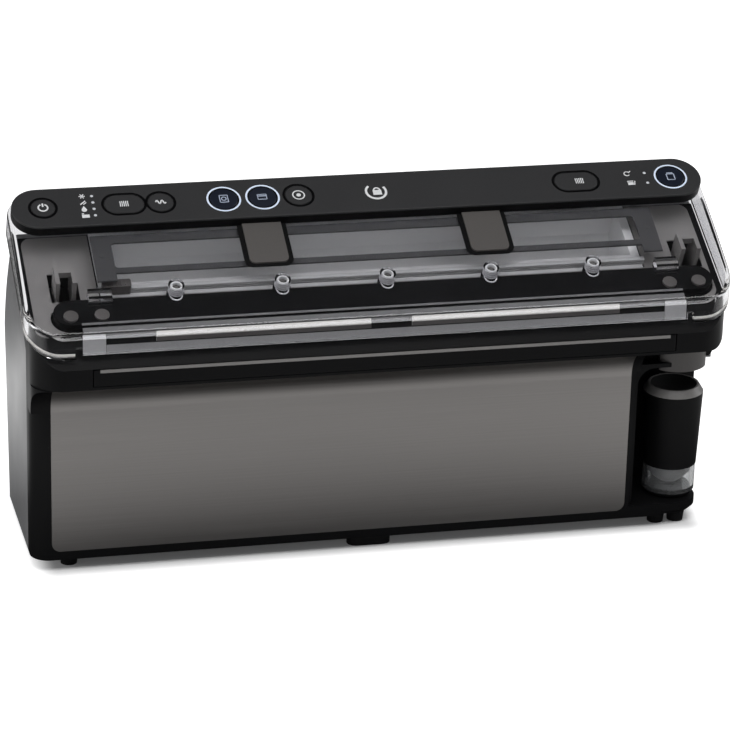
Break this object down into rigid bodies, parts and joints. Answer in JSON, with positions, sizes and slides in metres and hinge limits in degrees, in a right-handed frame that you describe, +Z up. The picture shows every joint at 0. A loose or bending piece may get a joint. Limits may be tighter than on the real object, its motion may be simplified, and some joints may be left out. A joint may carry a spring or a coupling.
{
  "type": "vacuum sealer",
  "caption": "Countertop vacuum sealer: sloping smoked lid with a button strip, bag slot over a drip tray, steel front and a docked handheld sealer.",
  "frame": {"origin": "on the floor under the middle of the bounding box", "axes": "+X to the right as seen from the front, +Y to the rear, +Z up; the front panel faces -Y"},
  "size_m": [0.4, 0.1244, 0.1996],
  "materials": {
    "black_plastic": "satin",
    "silver_plastic": "satin",
    "dark_steel": "brushed dark",
    "smoked_clear": "gloss",
    "clear_plastic": "gloss",
    "grey_plastic": "satin",
    "black_rubber": "matte",
    "pale_silicone": "satin",
    "steel": "satin",
    "aluminium": "satin",
    "heater_alloy": "satin",
    "copper_winding": "satin",
    "circuit_board": "satin",
    "gloss_black": "gloss",
    "light_guide": "gloss"
  },
  "bodies": {
    "base": {"bottom_cover": "black_plastic", "case_screws": "steel", "centre_foot": "black_rubber", "cutter_rail": "black_plastic", "deck_plate": "grey_plastic", "dock_bridge": "grey_plastic", "front_housing": "black_plastic", "front_panel": "dark_steel", "handheld_dock": "black_plastic", "handheld_hose": "black_rubber", "heat_seal_bar": "aluminium", "heating_element": "heater_alloy", "hinge_pins": "steel", "lower_gasket": "black_rubber", "power_board": "circuit_board", "power_inlet": "black_plastic", "pump_motor": "steel", "rear_cover": "silver_plastic", "roll_cradle": "grey_plastic", "rubber_feet": "black_rubber", "sealing_deck": "black_plastic", "solenoid_valve": "black_plastic", "transformer": "steel", "transformer_coil": "copper_winding", "tray_sleeve": "black_plastic", "vacuum_hose": "black_rubber", "vacuum_pump": "aluminium"},
    "lid": {"lid_shell": "smoked_clear", "gasket_carrier": "black_plastic", "carrier_discs": "grey_plastic", "lid_screws": "steel", "upper_gasket": "black_rubber", "pressure_holder": "black_plastic", "pressure_strips": "pale_silicone", "window_frame": "black_plastic", "tab_seats": "black_plastic", "lid_tabs": "grey_plastic", "latch_hooks": "black_plastic", "hinge_brackets": "black_plastic", "control_housing": "black_plastic", "control_board": "circuit_board", "control_cover": "gloss_black", "light_rings": "light_guide", "indicator_lenses": "light_guide"},
    "cutter": {"cutter_slider": "grey_plastic", "cutter_blade": "steel"},
    "tray": {"drip_tray": "black_plastic", "tray_lip": "grey_plastic"},
    "handheld": {"handheld_body": "black_plastic", "handheld_cap": "grey_plastic"},
    "reservoir": {"handheld_reservoir": "clear_plastic", "handheld_nozzle": "black_rubber"},
    "power_button_body": {"power_button": "gloss_black"},
    "mode_button_body": {"mode_button": "gloss_black"},
    "pulse_button_body": {"pulse_button": "gloss_black"},
    "vacuum_seal_button_body": {"vacuum_seal_button": "gloss_black"},
    "seal_button_body": {"seal_button": "gloss_black"},
    "cancel_button_body": {"cancel_button": "gloss_black"},
    "accessory_mode_button_body": {"accessory_mode_button": "gloss_black"},
    "accessory_button_body": {"accessory_button": "gloss_black"}
  },
  "joints": [
    {"name": "lid_hinge", "type": "hinge", "parent": "base", "child": "lid", "pos_m": [0, 0.02829, 0.17181], "axis": [-1, 0, 0], "range_deg": [0, 100]},
    {"name": "power_button_press", "type": "slide", "parent": "lid", "child": "power_button_body", "axis": [0, 0.4462, -0.8949], "range_m": [0, 0.0007], "stiffness_N_per_m": 800},
    {"name": "mode_button_press", "type": "slide", "parent": "lid", "child": "mode_button_body", "axis": [0, 0.4462, -0.8949], "range_m": [0, 0.0007], "stiffness_N_per_m": 800},
    {"name": "pulse_button_press", "type": "slide", "parent": "lid", "child": "pulse_button_body", "axis": [0, 0.4462, -0.8949], "range_m": [0, 0.0007], "stiffness_N_per_m": 800},
    {"name": "vacuum_seal_button_press", "type": "slide", "parent": "lid", "child": "vacuum_seal_button_body", "axis": [0, 0.4462, -0.8949], "range_m": [0, 0.0007], "stiffness_N_per_m": 800},
    {"name": "seal_button_press", "type": "slide", "parent": "lid", "child": "seal_button_body", "axis": [0, 0.4462, -0.8949], "range_m": [0, 0.0007], "stiffness_N_per_m": 800},
    {"name": "cancel_button_press", "type": "slide", "parent": "lid", "child": "cancel_button_body", "axis": [0, 0.4462, -0.8949], "range_m": [0, 0.0007], "stiffness_N_per_m": 800},
    {"name": "accessory_mode_button_press", "type": "slide", "parent": "lid", "child": "accessory_mode_button_body", "axis": [0, 0.4462, -0.8949], "range_m": [0, 0.0007], "stiffness_N_per_m": 800},
    {"name": "accessory_button_press", "type": "slide", "parent": "lid", "child": "accessory_button_body", "axis": [0, 0.4462, -0.8949], "range_m": [0, 0.0007], "stiffness_N_per_m": 800},
    {"name": "cutter_slide", "type": "slide", "parent": "base", "child": "cutter", "axis": [1, 0, 0], "range_m": [0, 0.285]},
    {"name": "drip_tray_slide", "type": "slide", "parent": "base", "child": "tray", "axis": [0, -1, 0], "range_m": [0, 0.06]},
    {"name": "handheld_out", "type": "slide", "parent": "base", "child": "handheld", "axis": [0, -1, 0], "range_m": [0, 0.12]},
    {"name": "reservoir_twist", "type": "hinge", "parent": "handheld", "child": "reservoir", "pos_m": [0.177, -0.02675, 0.022], "axis": [0, 0, 1], "range_deg": [0, 40]}
  ]
}
